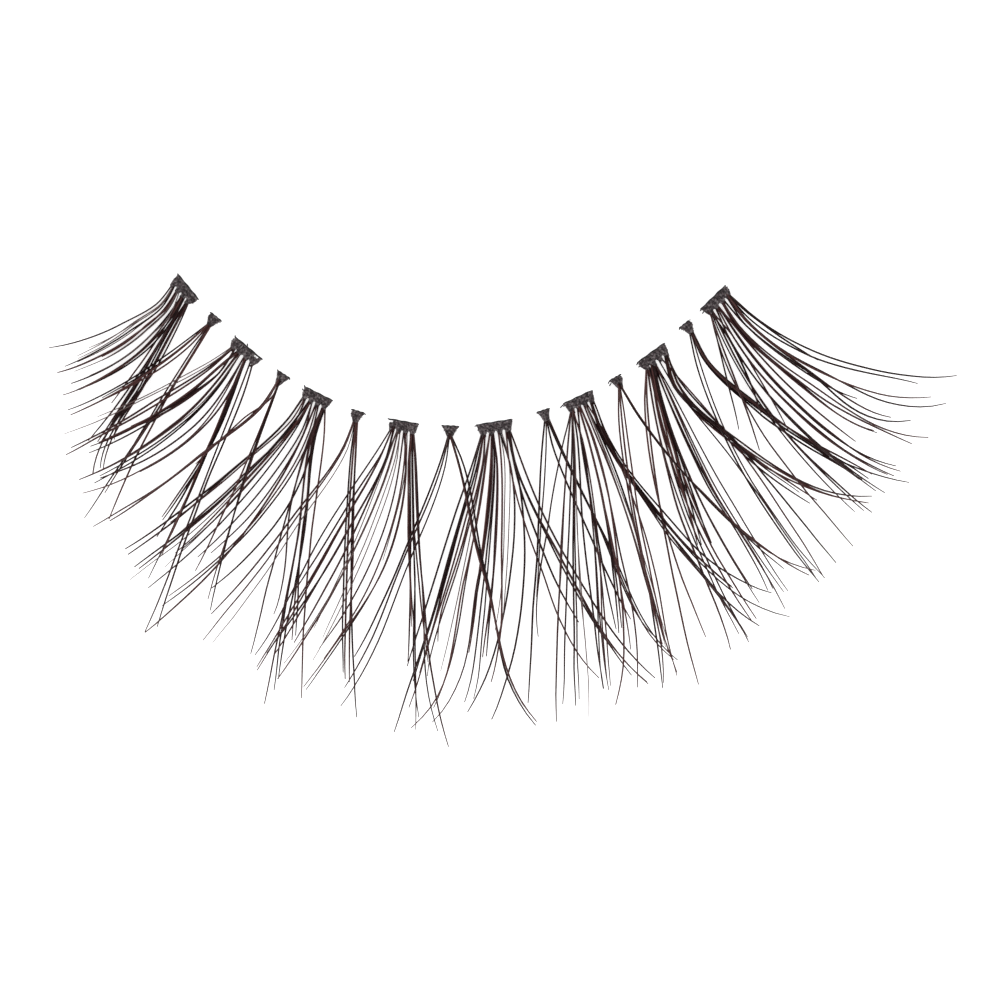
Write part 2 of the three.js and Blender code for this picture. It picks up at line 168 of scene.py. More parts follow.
WIDE_TUFTS = [
    dict(
        at=0.023, width=0.0595, seat=(-0.1, -0.14, 3.6), rounded="right",
        ends=[(-1, -0.02, 195, 0.1)], layer=0, bends=(0.17, 0.1, 0, 0), fine=[1, 2, 5, 7],
        hairs=[
            (0, -15, -20, 0.5, 1), (0, -12, -13, 0.38, 1), (0, -10, -11, 0.43, 3),
            (0, -9.5, -11.5, 0.48, 1), (1, -2.5, -10.5, 0.51, 1), (1, 0, -7, 0.46, 1),
            (1, 1, -4, 0.37, 2), (1, 5.5, -3, 0.43, 1), (2, 7.5, -4, 0.49, 1),
            (2, 10.5, -1, 0.49, 3), (2, 9.5, -3, 0.54, 1), (2, 15, 13, 0.45, 1),
            (2, 16, 14, 0.6, 1), (2, 18, 17, 0.585, 2), (3, 20, 20, 0.68, 2, 17.9),
            (3, 22, 21, 0.66, 2, 19.4), (3, 24, 20.5, 0.55, 1, 19.4),
        ],
    ),
    dict(
        at=0.155, width=0.065, seat=(-0.03, 0.03, 1.3), rounded="left", bite=(0.5, 0.78),
        ends=[(-1, -0.03, 215, 0.12), (-0.1, -0.06, -130, 0.16)], layer=2,
        bends=(0.05, -0.05, -0.05, 0.08), fine=[0, 1, 7],
        hairs=[
            (0, -26.5, -27, 0.55, 1), (0, -25.5, -26.6, 0.68, 1), (0, -20, -21.4, 0.7, 2),
            (0, -12.5, -17.7, 0.48, 3), (1, -13, -17.8, 0.63, 2), (1, -14.5, -19, 0.59, 1),
            (1, -5.6, -13.5, 0.71, 2), (1, -4.5, -11.3, 0.62, 1), (1, -2.5, -10.3, 0.68, 2),
            (2, 4, -9.8, 0.65, 1), (2, 5.5, -10, 0.73, 1), (2, 10.3, -2.5, 0.55, 1),
            (2, 17, 11.6, 0.63, 2), (2, 17, 13, 0.695, 1), (2, 16.5, 15.5, 0.83, 1),
            (2, 17, 15.6, 0.755, 2), (3, 20.3, 19, 1, 1), (3, 21, 20.7, 0.97, 1),
        ],
    ),
    dict(
        at=0.285, width=0.057, seat=(-0.02, 0.03, 0),
        ends=[(-1, -0.04, 205, 0.12), (-1, 0.14, 190, 0.12)], layer=0,
        bends=(0.18, 0.05, 0.05, 0), fine=[4, 6],
        hairs=[
            (0, -22, -24.6, 0.83, 2), (0, -20.5, -22.6, 0.655, 1), (0, -17, -19.4, 0.755, 1),
            (1, -14.8, -19, 0.83, 2), (1, -14, -18.7, 0.88, 1), (1, -11.3, -14.6, 0.695, 2),
            (1, -11.8, -15.1, 0.77, 1), (1, -9.4, -14.6, 0.86, 1), (1, -4.3, -9.8, 0.675, 1),
            (1, -0.3, -7.3, 0.64, 1), (2, 1.2, -9.6, 0.83, 1), (2, 1.6, -9.7, 0.875, 1),
            (2, -0.6, -9.2, 0.975, 1), (3, 12.5, -1.8, 0.735, 1, None, -0.05),
            (3, 12.9, 15.4, 0.745, 1, 15.6), (3, 12.3, 12.1, 0.89, 1),
            (3, 19.8, 20.5, 0.823, 2, None, -0.28), (3, 20.3, 18.7, 0.953, 1, None, -0.28),
            (3, 18.3, 18.2, 0.99, 1, None, -0.28), (3, 18.2, 17, 1.04, 1, None, -0.28),
            (3, 23.2, 23.6, 1.007, 1, None, 0.08),
        ],
    ),
    dict(
        at=0.426, width=0.0555, seat=(-0.045, 0.015, 1.1), bite=(-1, -0.66),
        ends=[(-1, -0.045, 180, 0.1)], layer=2, bends=(0.12, 0.05, 0, 0), fine=[5, 7, 8, 9, 12],
        hairs=[
            (0, -26.8, -23.6, 0.92, 1, -24.2), (0, -25, -23.7, 0.67, 1),
            (0, -21.8, -21.2, 0.957, 2), (0, -18.9, -20.2, 0.888, 2), (1, -15, -17.2, 0.821, 1),
            (1, -13, -14.4, 0.75, 1), (1, -12.6, -17.1, 0.949, 1), (1, -12.1, -17.2, 0.892, 1),
            (1, -9.5, -11.6, 0.765, 1), (1, -7.5, -11.9, 0.846, 1), (2, -1.8, -11.2, 0.8, 1),
            (2, 0.5, -9.5, 0.83, 1), (2, 5, -0.6, 0.466, 1), (2, 1.8, -11.6, 0.94, 2, -6),
            (3, 12.6, 9.9, 0.797, 1), (3, 12.4, 11.9, 0.7, 2), (3, 13, 11.5, 1.02, 1),
            (3, 13, 12.2, 0.98, 1, 11.6), (3, 15.4, 15.4, 1.03, 1, 14.2),
            (3, 15.3, 17.1, 1.085, 1, 15.3), (3, 14.3, 14.9, 0.8, 1),
        ],
    ),
    dict(
        at=0.566, width=0.0663, seat=(0, 0.005, -0.9), ends=[(-1, -0.02, 170, 0.14)], layer=0,
        bends=(0.08, 0.03, 0.1, 0), fine=[6, 14, 17],
        hairs=[
            (0, -29.7, -27.8, 0.857, 1), (0, -26.3, -26.1, 1.08, 1), (0, -26.2, -24.6, 0.87, 2),
            (0, -24.5, -24.8, 0.985, 1), (0, -23.3, -22.6, 0.75, 1, -23.8),
            (0, -22.3, -22.9, 0.87, 1, -23.5), (1, -19.6, -20.3, 0.84, 1),
            (1, -18.8, -23.4, 1.05, 1, -18.5), (1, -18, -20, 0.967, 1, -18.1),
            (1, -13.9, -19.8, 1.015, 1, -14.7), (1, -13.3, -14.6, 0.77, 2),
            (1, -12, -14.2, 0.93, 1, -12.6), (1, -11, -12.4, 0.917, 1, -11.3),
            (1, -7.9, -10.9, 0.777, 2), (2, -2.9, -7.6, 0.69, 1, -5.2),
            (2, -4.6, -8.7, 0.86, 1, -6), (2, -1.3, -13.5, 0.96, 1, -6.9),
            (2, -0.6, -6.5, 0.7, 1), (3, 3.9, -8.5, 0.984, 1, -2.5, 0.05),
            (3, 10, 14, 0.915, 1, 10.3), (3, 12.5, 15, 0.72, 1, 13.1),
            (3, 18, 22.3, 0.994, 2, 19.1, -0.24), (3, 19.6, 24, 0.999, 1, 20.9),
            (3, 17.2, 20.2, 0.95, 1, 18.3, -0.15),
        ],
    ),
    dict(
        at=0.702, width=0.0583, seat=(0.026, 0.02, 0),
        ends=[(-1, -0.04, 160, 0.3), (-1, 0.05, 170, 0.1)], layer=2, bends=(0.05, 0, 0, -0.1),
        fine=[6, 7, 19],
        hairs=[
            (0, -38.3, -34.9, 0.808, 1, -37.4), (0, -31.8, -29.9, 0.79, 1),
            (0, -31, -29.1, 1.077, 1), (0, -29, -28.1, 1.02, 1), (0, -27, -25.8, 1.02, 1),
            (0, -26.2, -25, 1, 1), (0, -25, -23.4, 1.06, 1, -23.6), (0, -25, -23.3, 0.943, 1),
            (0, -22.8, -20.3, 0.97, 1), (0, -18.9, -20.2, 0.967, 3, -20),
            (1, -17.5, -18.8, 0.96, 1), (1, -17, -16, 0.78, 1), (1, -11.5, -14.6, 0.78, 2),
            (1, -11, -18.2, 1.027, 1, -13.9), (1, -9.8, -13.5, 0.98, 1, -11),
            (1, -11.5, -13.5, 0.855, 1), (2, -2.1, -9, 1.004, 1, -6),
            (2, -3, -8.4, 0.985, 1, -5.2), (2, 1.1, -5.6, 0.98, 1, -3.3),
            (2, -2.5, -5.8, 0.88, 2, -4.4), (3, 9.6, 18.4, 1.01, 1, 12.2),
            (3, 11, 19.5, 0.91, 1, 13.5), (3, 9, 13.2, 0.967, 1, 9.8), (3, 9, 9.9, 0.97, 2, 10.3),
            (3, 9.2, 14, 0.82, 2, 11),
        ],
    ),
    dict(
        at=0.835, width=0.0616, seat=(0.02, 0.08, 2), rounded="left",
        ends=[(-1, -0.02, 165, 0.15), (-0.95, 0.16, 160, 0.16)], layer=0,
        bends=(0, 0, -0.1, -0.28),
        hairs=[
            (0, -34.5, -27, 0.962, 1), (0, -33.5, -29.7, 1.11, 1), (0, -28, -23, 1.02, 1, -24.3),
            (0, -25, -23.9, 0.66, 3), (0, -25.5, -19.1, 1.008, 1), (0, -27, -20.4, 0.977, 1),
            (1, -24.5, -17.3, 0.951, 2), (1, -21.5, -20, 0.67, 2), (1, -20, -14.6, 0.855, 1),
            (1, -20, -14.2, 0.905, 1), (1, -14, -10.6, 0.88, 2, -11.4),
            (1, -13.5, -10.3, 0.96, 1, -11.3), (1, -9.8, -8.1, 0.914, 2),
            (2, 0.2, -1.7, 0.942, 1), (2, 4, -0.2, 0.94, 1), (3, 5.9, 3.5, 0.932, 1),
            (3, 4, 8.95, 0.73, 2), (3, 5, 8.8, 0.68, 1), (3, 6.3, 17.4, 0.883, 2, 11.2),
            (3, 7.5, 19.1, 0.876, 1, 11.5),
        ],
    ),
    dict(
        at=0.967, width=0.063, seat=(-0.055, 0.125, 2.3), rounded="right",
        ends=[(-1, -0.02, 165, 0.14), (-1, 0.12, 150, 0.14), (-0.6, -0.06, -3, 1.1)], layer=2,
        bends=(0, 0, -0.1, -0.05),
        hairs=[
            (0, -36.5, -35.5, 0.45, 1), (0, -31, -29.7, 0.54, 1),
            (0, -26.5, -17.4, 0.956, 1, -21.2), (0, -24.5, -24.5, 0.42, 1),
            (0, -22, -13.3, 0.858, 1), (0, -20.5, -10.4, 0.894, 1), (0, -21, -11.5, 0.87, 1),
            (0, -18.5, -17.5, 0.52, 1), (1, -15.5, -7, 0.845, 1), (1, -15, -5.6, 0.868, 1),
            (1, -12, -1.5, 0.85, 1, -7), (1, -12.5, -2.5, 0.83, 1, -7.6),
            (1, -9.2, 0.2, 0.853, 2, -5.4), (1, -8, -2.3, 0.676, 1),
            (2, -1.8, 3.2, 0.712, 2, -0.4), (2, -1.2, 6.7, 0.822, 1), (2, 1, 9.9, 0.855, 1, 3.9),
            (2, 3.8, 11.2, 0.776, 1, 4.2), (3, 6, 9.3, 0.716, 1, 6.1),
            (3, 7.5, 18.4, 0.802, 1, 11.8), (3, 8.2, 18.5, 0.85, 1, 10.9),
            (3, 15, 25, 0.849, 1, 19.4), (3, 11.3, 19.9, 0.74, 1, 16.5), (3, 12, 11.8, 0.41, 1),
            (3, 3.6, 8.4, 0.59, 1, 5),
        ],
    ),
]
NARROW_TUFTS = [
    dict(
        at=0.088, width=0.0258, seat=(-0.135, -0.075, -4), rounded="left", layer=1, bends=(0, 0),
        hairs=[
            (0, -11, -15.5, 0.58, 1), (0, -9, -13.5, 0.58, 1), (0, -9.6, -12.6, 0.46, 1),
            (0, -7, -12, 0.46, 1), (0, 9, 10, 0.52, 1), (0, 10, 10.7, 0.68, 1),
            (0, 10, 9.5, 0.79, 1), (0, 11, 15, 0.75, 1),
        ],
    ),
    dict(
        at=0.222, width=0.0262, seat=(0.01, 0.065, 0),
        ends=[(-1, -0.04, 230, 0.07), (1, -0.03, 10, 0.08)], layer=3, bends=(0.25, 0.03),
        hairs=[
            (0, -12.5, -18, 0.81, 1), (0, -12, -16.6, 0.755, 1), (0, -11, -12, 0.42, 1),
            (0, 11, 9, 0.72, 1), (0, 13, 14.5, 0.79, 1), (0, 13, 16, 0.82, 1),
        ],
    ),
    dict(
        at=0.352, width=0.0247, seat=(0, 0.08, -1.7), rounded="left", ends=[(1, -0.03, 0, 0.08)],
        layer=1, bends=(0.2, 0), fine=[2],
        hairs=[
            (0, -12.3, -17.2, 0.835, 1), (0, -11.9, -15.3, 0.92, 1), (0, -9.8, -13.2, 0.907, 1),
            (0, 14.1, 16, 0.893, 2), (0, 13.5, 15.3, 0.87, 1), (0, 15.8, 18.7, 1.016, 1),
        ],
    ),
    dict(
        at=0.497, width=0.03, seat=(0.01, 0.055, 2),
        ends=[(-1, -0.045, 180, 0.05), (1, -0.045, 0, 0.06)], layer=3, bends=(0.1, 0.2),
        hairs=[
            (0, -19.1, -22.1, 0.829, 1, -20.5), (0, -18.7, -21.6, 0.932, 1, -19.6),
            (0, -16.9, -21, 0.995, 1, -18.2), (0, 13.3, 16.7, 1.02, 2, 13.2),
            (0, 13.8, 15.9, 0.99, 1, 13.2),
        ],
    ),
    dict(
        at=0.645, width=0.0239, seat=(0, -0.005, 0), ends=[(-1, -0.03, 180, 0.06)], layer=1,
        bends=(0, -0.05),
        hairs=[
            (0, -20.9, -21.7, 0.97, 1), (0, -20, -20.8, 0.62, 1), (0, 7.6, 9.8, 0.936, 2, 6.9),
            (0, 7.2, 7.4, 0.825, 1, 5.8), (0, 2, 4.5, 0.75, 1),
        ],
    ),
    dict(
        at=0.768, width=0.0242, seat=(0.006, 0.065, 2.6), rounded="right",
        ends=[(-1, -0.03, 165, 0.16), (-1, 0.1, 160, 0.16)], layer=3, bends=(0, 0),
        hairs=[
            (0, -24.3, -20.3, 1, 1), (0, -24, -22, 0.9, 1), (0, -22.5, -21, 0.93, 1),
            (0, 5, 12.2, 0.922, 1, 8.2), (0, 5, 14, 0.92, 1, 7.9), (0, 4.5, 9, 0.845, 1),
        ],
    ),
    dict(
        at=0.9055, width=0.0246, seat=(-0.02, 0.075, 4.2), rounded="right",
        ends=[(-1, -0.02, 170, 0.08)], layer=1, bends=(0, -0.2),
        hairs=[
            (0, -22, -15.6, 0.966, 1), (0, -21.5, -14.3, 0.965, 1),
            (0, -0.3, 11.6, 0.909, 1, 5.4), (0, -0.5, 8, 0.8, 2, 4.6), (0, -1, 5.5, 0.78, 2, 3),
        ],
    ),
]


class LashLine:
    """The lash line in plan, for places given as shares of its length."""

    def __init__(self):
        across = np.linspace(-1, 1, LINE_STEPS + 1)
        rise = LINE_RISE * np.abs(across) ** LINE_FLARE
        self.points = np.column_stack((across * LINE_SPAN / 2, rise))
        steps = np.linalg.norm(np.diff(self.points, axis=0), axis=1)
        self.shares = np.concatenate(([0], np.cumsum(steps))) / steps.sum()

    def at(self, share):
        """The point at a share of the line's length."""
        return np.array([np.interp(share, self.shares, self.points[:, i]) for i in range(2)])

    def along(self, share, step=1e-3):
        """The line's direction there."""
        way = self.at(min(share + step, 1)) - self.at(max(share - step, 0))
        return way / np.linalg.norm(way)

    def distance(self, points):
        """How far each point is from the line."""
        return np.array([np.linalg.norm(self.points - point, axis=1).min() for point in points])


LASH_LINE = LashLine()


def cad_origin():
    """The lash line's middle in the frame, from the band that lies along it."""
    low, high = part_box("band")
    middle_x = (low.x + high.x) / 2 / METRES
    return np.array([middle_x, low.y / METRES + BAND_INSET + BAND_WIDTH / 2])


ORIGIN = cad_origin()


class Place:
    """A tuft's own frame in plan: across the knot, and straight out from the lash line."""

    def __init__(self, share, across=0.0, out=0.0, turn=0.0):
        along = LASH_LINE.along(share)
        away = np.array([along[1], -along[0]])
        self.middle = LASH_LINE.at(share) + across * along + out * away
        turn = math.radians(turn)
        self.across = math.cos(turn) * along + math.sin(turn) * away
        self.out = np.array([self.across[1], -self.across[0]])

    def plan(self, across, out):
        """Points of the tuft's frame in the lash line's frame."""
        across = np.asarray(across, float)[..., None]
        out = np.asarray(out, float)[..., None]
        return self.middle + across * self.across + out * self.out

    def world(self, across, out, height):
        """Points of the tuft's frame in the shared frame, still in millimetres."""
        flat = self.plan(across, out) + ORIGIN
        return np.column_stack((flat, np.broadcast_to(height, len(flat))))


# Materials
def linear(hex_colour):
    """An sRGB hex colour as linear RGBA."""
    channels = [int(hex_colour[i:i + 2], 16) / 255 for i in (1, 3, 5)]
    return (*[c / 12.92 if c <= 0.04045 else ((c + 0.055) / 1.055) ** 2.4 for c in channels], 1)


def per_mm(size):
    """The noise scale that gives features of this size in millimetres."""
    return 1 / (size * METRES)


def add(tree, kind, links=(), inputs=(), **settings):
    """Adds a node, sets its settings and inputs, and links (input, source node, its output)."""
    node = tree.nodes.new(kind)
    for name, value in settings.items():
        setattr(node, name, value)
    for name, value in dict(inputs).items():
        node.inputs[name].default_value = value
    for name, source, output in links:
        tree.links.new(source.outputs[output], node.inputs[name])
    return node


def new_material(name):
    """A new material and its node tree, emptied."""
    material = bpy.data.materials.new(name)
    material.use_nodes = True
    tree = material.node_tree
    tree.nodes.clear()
    return material, tree


def ramp(tree, source, output, stops):
    """A colour ramp with these (place, hex colour) stops."""
    node = add(tree, "ShaderNodeValToRGB", [("Fac", source, output)])
    elements = node.color_ramp.elements
    while len(elements) < len(stops):
        elements.new(0.5)
    for element, (place, colour) in zip(elements, stops):
        element.position = place
        element.color = linear(colour)
    return node


def lash_fibre():
    """PBT fibre, dyed through, drawn and heat-set: nearly black, warm brown at its edges, with
    some hairs redder than others and the tips, drawn out thin, a little paler."""
    material, tree = new_material("lash_fibre")
    strand = add(tree, "ShaderNodeAttribute", attribute_name="strand")
    along = add(tree, "ShaderNodeAttribute", attribute_name="along")
    fine = add(tree, "ShaderNodeAttribute", attribute_name="fine")
    dark = ramp(
        tree, strand, "Fac",
        [(0, "#0a0708"), (0.35, "#1b1112"), (0.7, "#3f2829"), (1, "#62403d")],
    )
    worn = ramp(tree, along, "Fac", [(0, "#000000"), (0.75, "#0a0a0a"), (1, "#5e5e5e")])
    tip = add(
        tree, "ShaderNodeMix", [("Factor", worn, "Color"), (6, dark, "Color")],
        {7: linear("#5c4640")}, data_type="RGBA",
    )
    tone = add(
        tree, "ShaderNodeMix", [("Factor", fine, "Fac"), (6, tip, 2)],
        {7: linear("#6a5c5a")}, data_type="RGBA",
    )
    shader = add(
        tree, "ShaderNodeBsdfPrincipled", [("Base Color", tone, 2)],
        {
            "Roughness": 0.4, "IOR": 1.55, "Specular IOR Level": 0.32,
            "Specular Tint": linear("#f0bcb8"), "Sheen Weight": 0.4, "Sheen Roughness": 0.3,
            "Sheen Tint": linear("#c8605a"),
        },
    )
    add(tree, "ShaderNodeOutputMaterial", [("Surface", shader, "BSDF")])
    return material


def glued_knot():
    """Hair roots fused in set latex glue: charcoal, lumpy, with a dull skin; the pale grey specks
    on its high spots are painted highlights.
    """
    material, tree = new_material("glued_knot")
    place = add(tree, "ShaderNodeTexCoord")
    lumps_and_highlights = add(
        tree, "ShaderNodeTexNoise", [("Vector", place, "Object")],
        {"Scale": per_mm(0.1), "Detail": 3.0, "Roughness": 0.6},
    )
    # The charcoal stops are the glue's own colour; the pale grey stops on the noise's high spots
    # are painted highlights on its lumps
    tone = ramp(
        tree, lumps_and_highlights, "Fac",
        [(0.36, "#150d0f"), (0.46, "#352a2d"), (0.55, "#5d5154"), (0.66, "#948d8e")],
    )
    bump = add(
        tree, "ShaderNodeBump", [("Height", lumps_and_highlights, "Fac")],
        {"Strength": 0.6, "Distance": 0.05 * METRES},
    )
    shader = add(
        tree, "ShaderNodeBsdfPrincipled",
        [("Base Color", tone, "Color"), ("Normal", bump, "Normal")],
        {"Roughness": 0.5, "IOR": 1.5},
    )
    add(tree, "ShaderNodeOutputMaterial", [("Surface", shader, "BSDF")])
    return material


def dry_glue():
    """Grains of latex glue dried on the hair roots: milky grey and dull."""
    material, tree = new_material("dry_glue")
    place = add(tree, "ShaderNodeTexCoord")
    mottle = add(
        tree, "ShaderNodeTexNoise", [("Vector", place, "Object")],
        {"Scale": per_mm(0.1), "Detail": 2.0},
    )
    tone = ramp(tree, mottle, "Fac", [(0.3, "#4a4447"), (0.7, "#8a8484")])
    shader = add(
        tree, "ShaderNodeBsdfPrincipled", [("Base Color", tone, "Color")],
        {"Roughness": 0.55, "IOR": 1.52},
    )
    add(tree, "ShaderNodeOutputMaterial", [("Surface", shader, "BSDF")])
    return material


def tying_thread():
    """Spun polyester thread, black, that ties the hair to the band: fine twist, dull, with painted
    shade and sheen in bands along each turn of the twist.
    """
    material, tree = new_material("tying_thread")
    along = add(tree, "ShaderNodeAttribute", attribute_name="along")
    twist = add(tree, "ShaderNodeMath", [(0, along, "Fac")], {1: 160.0}, operation="MULTIPLY")
    twist_shade = add(tree, "ShaderNodeMath", [(0, twist, 0)], operation="SINE")
    # Lighter and darker bands, one pair to each turn of the twist: painted shade and sheen of the
    # twisted plies on a thread that is black throughout
    tone = ramp(tree, twist_shade, "Value", [(0, "#080506"), (1, "#1f1719")])
    shader = add(
        tree, "ShaderNodeBsdfPrincipled", [("Base Color", tone, "Color")],
        {"Roughness": 0.6, "IOR": 1.54},
    )
    add(tree, "ShaderNodeOutputMaterial", [("Surface", shader, "BSDF")])
    return material


def clear_nylon():
    """Drawn nylon monofilament: clear, smooth, with a thin bright edge."""
    material, tree = new_material("clear_nylon")
    place = add(tree, "ShaderNodeTexCoord")
    haze = add(
        tree, "ShaderNodeTexNoise", [("Vector", place, "Object")],
        {"Scale": per_mm(0.8), "Detail": 2.0},
    )
    rough = add(
        tree, "ShaderNodeMapRange", [("Value", haze, "Fac")],
        {"To Min": 0.04, "To Max": 0.16},
    )
    shader = add(
        tree, "ShaderNodeBsdfPrincipled", [("Roughness", rough, "Result")],
        {"Base Color": linear("#fbfcfd"), "IOR": 1.53, "Transmission Weight": 1.0, "Alpha": 0.25},
    )
    add(tree, "ShaderNodeOutputMaterial", [("Surface", shader, "BSDF")])
    return material


def white_paper():
    """Matt white card for the floor, lit a little from below as on a light table."""
    material, tree = new_material("white_paper")
    shader = add(
        tree, "ShaderNodeBsdfPrincipled",
        inputs={
            "Base Color": linear("#fafafa"), "Roughness": 0.9, "Specular IOR Level": 0.1,
            "Emission Color": linear("#ffffff"), "Emission Strength": FLOOR_GLOW,
        },
    )
    add(tree, "ShaderNodeOutputMaterial", [("Surface", shader, "BSDF")])
    return material


LASH_FIBRE = lash_fibre()
GLUED_KNOT = glued_knot()
DRY_GLUE = dry_glue()
TYING_THREAD = tying_thread()
CLEAR_NYLON = clear_nylon()
WHITE_PAPER = white_paper()


# Geometry Nodes trees
def new_tree(name, inputs):
    """A Geometry Nodes tree with these named inputs: (name, socket type, value)."""
    tree = bpy.data.node_groups.new(name, "GeometryNodeTree")
    face = tree.interface
    face.new_socket("Geometry", in_out="INPUT", socket_type="NodeSocketGeometry")
    face.new_socket("Geometry", in_out="OUTPUT", socket_type="NodeSocketGeometry")
    for title, kind, value in inputs:
        socket = face.new_socket(title, in_out="INPUT", socket_type=kind)
        if value is not None:
            socket.default_value = value
    return tree, add(tree, "NodeGroupInput"), add(tree, "NodeGroupOutput")


def hair_tree():
    """Turns guide lines into tapering hairs, as many on each guide as its count says."""
    tree, given, result = new_tree("lash_hairs", [
        ("Width", "NodeSocketFloat", HAIR_WIDTH),
        ("Tip share", "NodeSocketFloat", TIP_SHARE),
        ("Root share", "NodeSocketFloat", ROOT_SHARE),
        ("Splay", "NodeSocketFloat", SPLAY),
        ("Root gap", "NodeSocketFloat", ROOT_GAP),
        ("Belly", "NodeSocketFloat", BELLY),
        ("Wave", "NodeSocketFloat", WAVE),
        ("Wave length", "NodeSocketFloat", WAVE_LENGTH),
        ("Sides", "NodeSocketInt", HAIR_SIDES),
        ("Seed", "NodeSocketInt", 1),
        ("Material", "NodeSocketMaterial", None),
    ])
    guides = add(tree, "GeometryNodeMeshToCurve", [("Mesh", given, "Geometry")])
    count = add(
        tree, "GeometryNodeInputNamedAttribute", inputs={"Name": "count"}, data_type="INT",
    )
    copies = add(
        tree, "GeometryNodeDuplicateElements",
        [("Geometry", guides, "Curve"), ("Amount", count, "Attribute")], domain="SPLINE",
    )
    along = add(tree, "GeometryNodeSplineParameter")
    belly = add(tree, "ShaderNodeMath", [(0, along, "Factor")], {1: 0.5}, operation="PINGPONG")
    extra = add(
        tree, "ShaderNodeMath", [(0, copies, "Duplicate Index")], {1: 1.0}, operation="MINIMUM",
    )
    spread = copies
    for salt, title, course in ((11, "Root gap", None), (23, "Belly", belly), (37, "Splay", along)):
        draw = add(tree, "ShaderNodeMath", [(0, given, "Seed")], {1: salt}, operation="ADD")
        chance = add(
            tree, "FunctionNodeRandomValue", [("Seed", draw, 0)],
            {0: (-1, -1, -0.3), 1: (1, 1, 0.3)}, data_type="FLOAT_VECTOR",
        )
        each = add(
            tree, "GeometryNodeFieldOnDomain", [("Value", chance, "Value")],
            data_type="FLOAT_VECTOR", domain="CURVE",
        )
        size = add(tree, "ShaderNodeMath", [(0, extra, 0), (1, given, title)], operation="MULTIPLY")
        if course:
            size = add(tree, "ShaderNodeMath", [(0, size, 0), (1, course, 0)], operation="MULTIPLY")
        push = add(
            tree, "ShaderNodeVectorMath", [(0, each, "Value"), ("Scale", size, 0)],
            operation="SCALE",
        )
        spread = add(
            tree, "GeometryNodeSetPosition",
            [("Geometry", spread, "Geometry"), ("Offset", push, "Vector")],
        )
    point = add(tree, "GeometryNodeInputPosition")
    frequency = add(
        tree, "ShaderNodeMath", [(1, given, "Wave length")], {0: 1.0}, operation="DIVIDE",
    )
    waved = add(
        tree, "ShaderNodeVectorMath", [(0, point, "Position"), ("Scale", frequency, 0)],
        operation="SCALE",
    )
    apart = add(
        tree, "ShaderNodeVectorMath", [(0, each, "Value")], {"Scale": 40.0}, operation="SCALE",
    )
    sought = add(tree, "ShaderNodeVectorMath", [(0, waved, 0), (1, apart, 0)], operation="ADD")
    noise = add(
        tree, "ShaderNodeTexNoise", [("Vector", sought, 0)], {"Scale": 1.0, "Detail": 1.0},
    )
    swing = add(
        tree, "ShaderNodeVectorMath", [(0, noise, "Color")], {1: (0.5, 0.5, 0.5)},
        operation="SUBTRACT",
    )
    size = add(
        tree, "ShaderNodeMath", [(0, along, "Factor"), (1, given, "Wave")], operation="MULTIPLY",
    )
    sway = add(
        tree, "ShaderNodeVectorMath", [(0, swing, 0), ("Scale", size, 0)], operation="SCALE",
    )
    spread = add(
        tree, "GeometryNodeSetPosition",
        [("Geometry", spread, "Geometry"), ("Offset", sway, "Vector")],
    )
    tone = add(tree, "FunctionNodeRandomValue", [("Seed", given, "Seed")], data_type="FLOAT")
    tone_each = add(
        tree, "GeometryNodeFieldOnDomain", [("Value", tone, "Value")],
        data_type="FLOAT", domain="CURVE",
    )
    toned = add(
        tree, "GeometryNodeStoreNamedAttribute",
        [("Geometry", spread, "Geometry"), ("Value", tone_each, "Value")],
        {"Name": "strand"}, data_type="FLOAT", domain="CURVE",
    )
    marked = add(
        tree, "GeometryNodeStoreNamedAttribute",
        [("Geometry", toned, "Geometry"), ("Value", along, "Factor")],
        {"Name": "along"}, data_type="FLOAT", domain="POINT",
    )
    girth = add(
        tree, "GeometryNodeInputNamedAttribute", inputs={"Name": "girth"}, data_type="FLOAT",
    )
    late = add(tree, "ShaderNodeMath", [(0, along, "Factor")], {1: 7.0}, operation="POWER")
    taper = add(
        tree, "ShaderNodeMapRange", [("Value", late, 0), ("To Max", given, "Tip share")],
        {"To Min": 1.0},
    )
    swell = add(
        tree, "ShaderNodeMapRange", [("Value", along, "Factor"), ("To Min", given, "Root share")],
        {"To Max": 1.0},
    )
    radius = add(tree, "ShaderNodeMath", [(0, given, "Width")], {1: 0.5}, operation="MULTIPLY")
    for share, output in ((girth, "Attribute"), (swell, "Result"), (taper, "Result")):
        radius = add(
            tree, "ShaderNodeMath", [(0, radius, 0), (1, share, output)], operation="MULTIPLY",
        )
    sized = add(
        tree, "GeometryNodeSetCurveRadius", [("Curve", marked, "Geometry"), ("Radius", radius, 0)],
    )
    section = add(
        tree, "GeometryNodeCurvePrimitiveCircle", [("Resolution", given, "Sides")], {"Radius": 1.0},
    )
    swept = add(
        tree, "GeometryNodeCurveToMesh",
        [("Curve", sized, "Curve"), ("Profile Curve", section, "Curve")], {"Fill Caps": True},
    )
    if "Scale" in swept.inputs:  # where this version takes the radius
        tree.links.new(radius.outputs[0], swept.inputs["Scale"])
    smooth = add(tree, "GeometryNodeSetShadeSmooth", [("Geometry", swept, "Mesh")])
    real = add(tree, "GeometryNodeRealizeInstances", [("Geometry", smooth, "Geometry")])
    return closed(tree, given, real, result)


def closed(tree, given, real, result):
    """Ends a tree: its material set on the real geometry."""
    made = add(
        tree, "GeometryNodeSetMaterial",
        [("Geometry", real, "Geometry"), ("Material", given, "Material")],
    )
    tree.links.new(made.outputs["Geometry"], result.inputs["Geometry"])
    return tree


HAIR_TREE = hair_tree()


